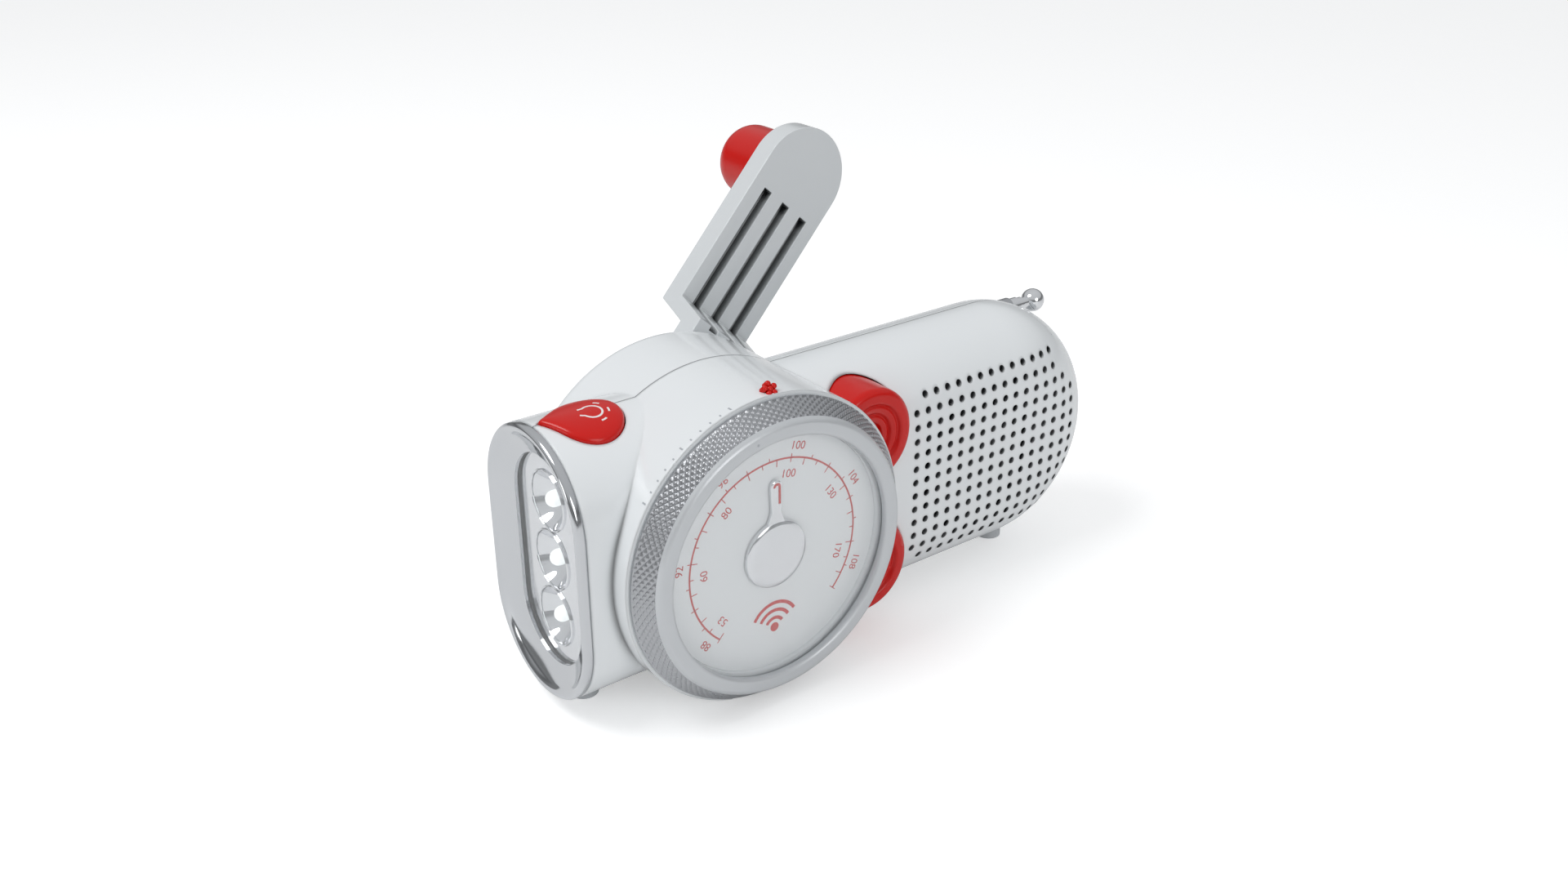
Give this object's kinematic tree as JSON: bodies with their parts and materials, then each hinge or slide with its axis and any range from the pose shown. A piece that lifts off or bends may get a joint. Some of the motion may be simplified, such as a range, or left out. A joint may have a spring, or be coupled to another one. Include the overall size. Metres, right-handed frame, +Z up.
{
  "type": "emergency radio",
  "caption": "Hand-crank radio with a round dial housing, a speaker handle, a flashlight head with a press button, and a folding crank on the back.",
  "frame": {"origin": "on the table under the dial axis, in the middle of the pad under the round housing", "axes": "+X from the lamp head to the speaker end, +Y to the back where the crank is, +Z up"},
  "size_m": [0.2116, 0.1211, 0.1476],
  "materials": {
    "white_shell": "glossy",
    "red_plastic": "glossy",
    "satin_silver": "satin silver",
    "bright_plating": "polished",
    "clear_window": "clear",
    "lamp_body": "clear cast",
    "dial_face": "printed, satin",
    "steel": "plain",
    "black_rubber": "matt",
    "pale_rubber": "matt",
    "black_plastic": "matt",
    "circuit_board": "satin",
    "gear_nylon": "natural",
    "cream_plastic": "satin",
    "cell_wrap": "printed film"
  },
  "bodies": {
    "body": {"front_shell": "white_shell", "back_shell": "white_shell", "case_screws": "steel", "rubber_feet": "pale_rubber", "head_bezel": "bright_plating", "head_lens": "clear_window", "lamp_reflector": "bright_plating", "lamp_leds": "lamp_body", "lamp_board": "circuit_board", "button_spring": "steel", "light_switch": "black_plastic", "dial_plate": "dial_face", "tuning_lamp": "red_plastic", "tuning_capacitor": "cream_plastic", "main_board": "circuit_board", "volume_control": "steel", "band_switch": "steel", "control_board": "circuit_board", "speaker_frame": "black_plastic", "speaker_cone": "black_plastic", "idler_pin": "steel", "generator_can": "steel", "gear_plate": "steel", "battery_cells": "cell_wrap", "battery_contacts": "steel", "power_socket": "black_plastic", "earphone_socket": "black_plastic", "charge_socket": "black_plastic", "socket_board": "circuit_board", "antenna_sleeve": "steel"},
    "tuning": {"tuning_ring": "satin_silver", "dial_lens": "clear_window", "pointer_cap": "satin_silver", "tuning_shaft": "steel"},
    "volume": {"volume_knob": "red_plastic", "volume_shaft": "steel"},
    "band": {"band_knob": "red_plastic", "band_shaft": "steel"},
    "light_button": {"light_button": "red_plastic"},
    "crank": {"crank_hub": "white_shell", "hub_gear": "gear_nylon", "fold_pin": "steel"},
    "crank_arm": {"crank_arm": "white_shell", "grip_pin": "steel"},
    "grip": {"crank_grip": "red_plastic"},
    "idler": {"idler_gear": "gear_nylon"},
    "rotor": {"generator_rotor": "steel"},
    "battery_door": {"battery_door": "white_shell"},
    "socket_cover": {"socket_cover": "black_rubber"},
    "antenna_tube": {"antenna_tube": "bright_plating"},
    "antenna_rod": {"antenna_rod": "bright_plating"}
  },
  "joints": [
    {"name": "tune", "type": "hinge", "parent": "body", "child": "tuning", "pos_m": [0, -0.036, 0.049], "axis": [0, 1, 0], "range_deg": [-133, 133]},
    {"name": "volume_turn", "type": "hinge", "parent": "body", "child": "volume", "pos_m": [0.0415, -0.018, 0.0715], "axis": [0, 1, 0], "range_deg": [-140, 140]},
    {"name": "band_turn", "type": "hinge", "parent": "body", "child": "band", "pos_m": [0.0415, -0.018, 0.0265], "axis": [0, 1, 0], "range_deg": [-30, 30]},
    {"name": "light_press", "type": "slide", "parent": "body", "child": "light_button", "axis": [0, 0, -1], "range_m": [0, 0.0012], "stiffness_N_per_m": 400, "springref_m": -0.002, "deforming": ["button_spring"]},
    {"name": "crank_spin", "type": "hinge", "parent": "body", "child": "crank", "pos_m": [0, 0.03, 0.049], "axis": [0, 1, 0], "continuous": true},
    {"name": "crank_fold", "type": "hinge", "parent": "crank", "child": "crank_arm", "pos_m": [0, 0.038, 0.049], "axis": [-0.749, 0, 0.6626], "range_deg": [0, 176]},
    {"name": "grip_spin", "type": "hinge", "parent": "crank_arm", "child": "grip", "pos_m": [0.07223, 0.065, 0.13064], "axis": [0, 1, 0], "continuous": true},
    {"name": "idler_spin", "type": "hinge", "parent": "body", "child": "idler", "pos_m": [-0.01909, 0.014, 0.06809], "axis": [0, 1, 0], "continuous": true},
    {"name": "rotor_spin", "type": "hinge", "parent": "body", "child": "rotor", "pos_m": [-0.00069, 0.002, 0.06809], "axis": [0, 1, 0], "continuous": true},
    {"name": "battery_door_swing", "type": "hinge", "parent": "body", "child": "battery_door", "pos_m": [0.0688, 0.0214, 0.0323], "axis": [-1, 0, 0], "range_deg": [0, 90]},
    {"name": "socket_cover_swing", "type": "hinge", "parent": "body", "child": "socket_cover", "pos_m": [-0.006, 0.0276, 0.0112], "axis": [-1, 0, 0], "range_deg": [0, 100]},
    {"name": "antenna_tube_slide", "type": "slide", "parent": "body", "child": "antenna_tube", "axis": [1, 0, 0], "range_m": [0, 0.06]},
    {"name": "antenna_rod_slide", "type": "slide", "parent": "antenna_tube", "child": "antenna_rod", "axis": [1, 0, 0], "range_m": [0, 0.06]}
  ],
  "couplings": [
    {"joint": "idler_spin", "follows": "crank_spin", "ratio": -4},
    {"joint": "rotor_spin", "follows": "crank_spin", "ratio": 14.4}
  ]
}
